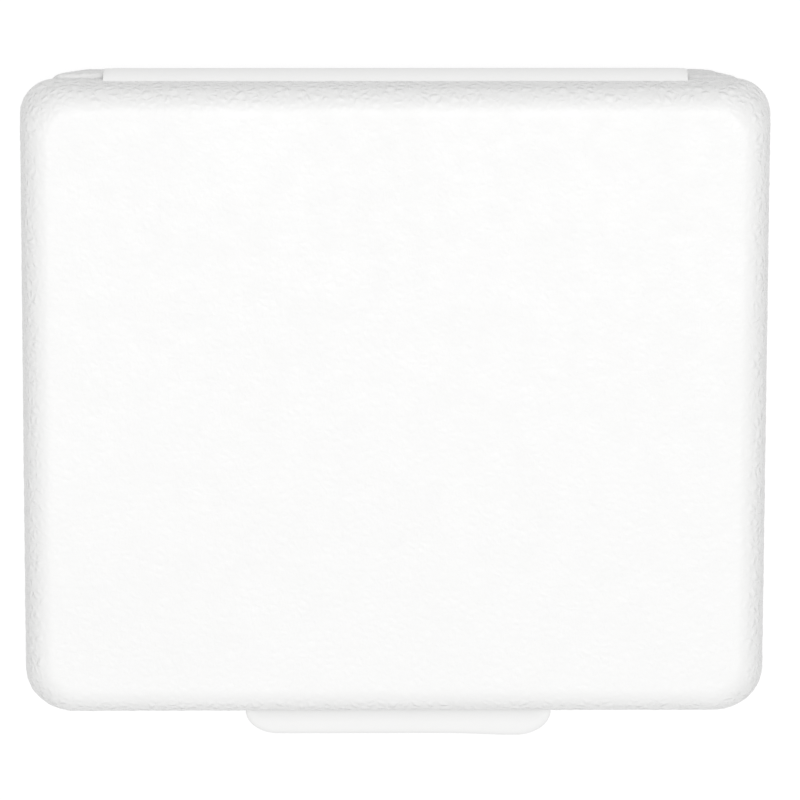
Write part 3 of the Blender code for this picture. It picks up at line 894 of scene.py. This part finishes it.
def foam():
    """Damp open-cell sponge: painted shade in its pores of two sizes, on a warm yellow."""
    material, tree, shader = new_material("sponge_foam")
    large = texture(tree, "ShaderNodeTexVoronoi", SPONGE_PORE)
    small = texture(tree, "ShaderNodeTexVoronoi", SPONGE_SMALL_PORE)
    share = add_node(tree, "ShaderNodeMath", operation="MULTIPLY")
    tree.links.new(large.outputs["Distance"], share.inputs[0])
    tree.links.new(small.outputs["Distance"], share.inputs[1])
    # Painted shade in the pores, full where both distances are small
    lit = spread(tree, share.outputs["Value"], 0, 1, *SPONGE_SHADE)
    tree.links.new(tint(tree, lit, SPONGE_PORE_PAINTED_SHADE, SPONGE_LIGHT), shader.inputs["Base Color"])
    tree.links.new(spread(tree, small.outputs["Distance"], *SPONGE_ROUGH), shader.inputs["Roughness"])
    pitted = bump(tree, large.outputs["Distance"], SPONGE_PORE_BUMP)
    rough = bump(tree, small.outputs["Distance"], SPONGE_SMALL_BUMP, pitted)
    tree.links.new(rough, shader.inputs["Normal"])
    return material


def paper():
    """Thin damp membrane paper: cloudy fibres and a soft tooth."""
    material, tree, shader = new_material("palette_paper")
    cloud = texture(tree, "ShaderNodeTexNoise", PAPER_CLOUD, Detail=6, Roughness=0.65)
    tooth = texture(tree, "ShaderNodeTexNoise", PAPER_TOOTH, Detail=4, Roughness=0.7)
    tree.links.new(tint(tree, cloud.outputs["Fac"], PAPER_LIGHT, PAPER_DARK), shader.inputs["Base Color"])
    tree.links.new(spread(tree, cloud.outputs["Fac"], *PAPER_ROUGH), shader.inputs["Roughness"])
    tree.links.new(bump(tree, tooth.outputs["Fac"], PAPER_TOOTH_DEPTH), shader.inputs["Normal"])
    return material


# Stage


def camera():
    """Camera at the photograph's viewing angle, with its frame placed as there."""
    tilted_back = Vector((0, math.sin(CAMERA_TILT), math.cos(CAMERA_TILT)))
    tilted_up = Vector((0, math.cos(CAMERA_TILT), -math.sin(CAMERA_TILT)))
    side = Vector((1, 0, 0))
    back = tilted_back * math.cos(CAMERA_YAW) + side * math.sin(CAMERA_YAW)
    level = side * math.cos(CAMERA_YAW) - tilted_back * math.sin(CAMERA_YAW)
    right = level * math.cos(CAMERA_ROLL) + tilted_up * math.sin(CAMERA_ROLL)
    up = tilted_up * math.cos(CAMERA_ROLL) - level * math.sin(CAMERA_ROLL)
    data = bpy.data.cameras.new("camera")
    data.sensor_width = SENSOR
    data.lens = FOCAL_PIXELS / IMAGE_PIXELS * SENSOR
    data.shift_x = (IMAGE_PIXELS / 2 - CENTRE_X) / IMAGE_PIXELS
    data.shift_y = (CENTRE_Y - IMAGE_PIXELS / 2) / IMAGE_PIXELS
    made = bpy.data.objects.new("camera", data)
    place = Matrix((right, up, back)).transposed().to_4x4()
    place.translation = Vector((0, 0, PARTING)) + back * CAMERA_DISTANCE
    made.matrix_world = place
    bpy.context.scene.collection.objects.link(made)
    bpy.context.scene.camera = made


def floor():
    """White floor that keeps the object's soft shadow."""
    half = FLOOR_SIZE / 2
    height = -FLOOR_DROP
    corners = [(-half, -half, height), (half, -half, height), (half, half, height), (-half, half, height)]
    material = bpy.data.materials.new("floor")
    material.use_nodes = True
    tree = material.node_tree
    tree.nodes.clear()
    output = add_node(tree, "ShaderNodeOutputMaterial")
    shaded = add_node(tree, "ShaderNodeBsdfDiffuse", [("Color", (FLOOR_GREY, FLOOR_GREY, FLOOR_GREY, 1))])
    seen = add_node(tree, "ShaderNodeBsdfDiffuse", [("Color", (FLOOR_SHADED, FLOOR_SHADED, FLOOR_SHADED, 1))])
    glow = add_node(tree, "ShaderNodeEmission", [("Strength", FLOOR_GLOW)])
    white = add_node(tree, "ShaderNodeAddShader")
    mix = add_node(tree, "ShaderNodeMixShader")
    tree.links.new(seen.outputs["BSDF"], white.inputs[0])
    tree.links.new(glow.outputs["Emission"], white.inputs[1])
    tree.links.new(direct_rays(tree), mix.inputs["Fac"])
    tree.links.new(shaded.outputs["BSDF"], mix.inputs[1])
    tree.links.new(white.outputs["Shader"], mix.inputs[2])
    tree.links.new(mix.outputs["Shader"], output.inputs["Surface"])
    add_mesh("floor", corners, [(0, 1, 2, 3)], material)


def direct_rays(tree):
    """1 for rays from the camera, from gloss and through clear material, and 0 for the rest."""
    path = add_node(tree, "ShaderNodeLightPath")
    total = path.outputs["Is Camera Ray"]
    for name in ("Is Glossy Ray", "Is Transmission Ray"):
        either = add_node(tree, "ShaderNodeMath", operation="MAXIMUM")
        tree.links.new(total, either.inputs[0])
        tree.links.new(path.outputs[name], either.inputs[1])
        total = either.outputs["Value"]
    return total


def light():
    """Even sky and one broad soft lamp overhead."""
    scene = bpy.context.scene
    scene.view_settings.view_transform = "Standard"
    world = bpy.data.worlds.new("sky")
    world.use_nodes = True
    tree = world.node_tree
    tree.nodes.clear()
    output = add_node(tree, "ShaderNodeOutputWorld")
    sky = add_node(tree, "ShaderNodeBackground", [("Strength", SKY_STRENGTH)])
    white = add_node(tree, "ShaderNodeBackground", [("Strength", 1)])
    for background in (sky, white):
        background.inputs["Color"].default_value = (1, 1, 1, 1)
    mix = add_node(tree, "ShaderNodeMixShader")
    tree.links.new(direct_rays(tree), mix.inputs["Fac"])
    tree.links.new(sky.outputs["Background"], mix.inputs[1])
    tree.links.new(white.outputs["Background"], mix.inputs[2])
    tree.links.new(mix.outputs["Shader"], output.inputs["Surface"])
    scene.world = world
    lamp = bpy.data.lights.new("overhead", "AREA")
    lamp.size = LAMP_SIZE
    lamp.energy = LAMP_POWER
    hung = bpy.data.objects.new("overhead", lamp)
    hung.location = LAMP_PLACE
    scene.collection.objects.link(hung)


# The dressed part


def dress(piece, body, slot, *nodes):
    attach(piece, body)
    if nodes:
        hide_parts(*nodes)
    return piece


def build():
    grained = plastic("grained_plastic", GRAINED_ROUGH, worm_relief, GRAINED_FINE, GRAINED_FINE_DEPTH)
    smoothed = plastic("smooth_plastic", SMOOTH_ROUGH, slow_relief, SMOOTH_FINE, SMOOTH_FINE_DEPTH)
    lid = skin(
        "lid_skin",
        LID_TOP,
        LID_RIM,
        LID_EDGE_RADIUS,
        LID_DRAFT,
        LID_RIM_EDGE,
        LID_CORNER_GROWTH,
        LID_RIM_GROWTH,
        grained,
    )
    base = skin(
        "base_skin",
        BASE_LOW.z,
        BASE_RIM,
        BASE_EDGE_RADIUS,
        BASE_DRAFT,
        BASE_RIM_EDGE,
        BASE_CORNER_GROWTH,
        BASE_RIM_GROWTH,
        grained,
    )
    tray = liner("water_tray", BASE_RIM, TRAY_LOW.z + LINER_WALL, groove_profile(BASE_RIM), smoothed)
    lining = liner("lid_lining", LID_RIM, LINER_HIGH.z - LINER_WALL, bead_profile(LID_RIM), smoothed)
    dress(lid, "lid", "grained_plastic", "lid_shell")
    dress(base, "base", "grained_plastic", "base_shell")
    dress(tray, "base", "smooth_plastic", "base_tray")
    dress(lining, "lid", "smooth_plastic", "lid_liner")
    dress(catch_ridge(smoothed), "base", "smooth_plastic")
    dress(hinge_strip(smoothed), "band", "smooth_plastic", "hinge_band")
    dress(hinge_root("lid_root", 1, smoothed), "lid", "smooth_plastic")
    dress(hinge_root("base_root", -1, smoothed), "base", "smooth_plastic")
    finger_tab = pull_tab(smoothed)
    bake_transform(finger_tab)
    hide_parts("front_tab")
    dress(tab_hook(smoothed), "tab", "smooth_plastic")
    pad = pillow(
        "sponge_pad", SPONGE_LOW, SPONGE_HIGH, SPONGE_CORNER, SPONGE_EDGE, SPONGE_STEP, sponge_relief, foam()
    )
    dress(pad, "base", "sponge_foam", "sponge")
    sheet = dress(paper_sheet(paper()), "base", "palette_paper", "palette_sheet")
    camera()
    floor()
    light()


build()
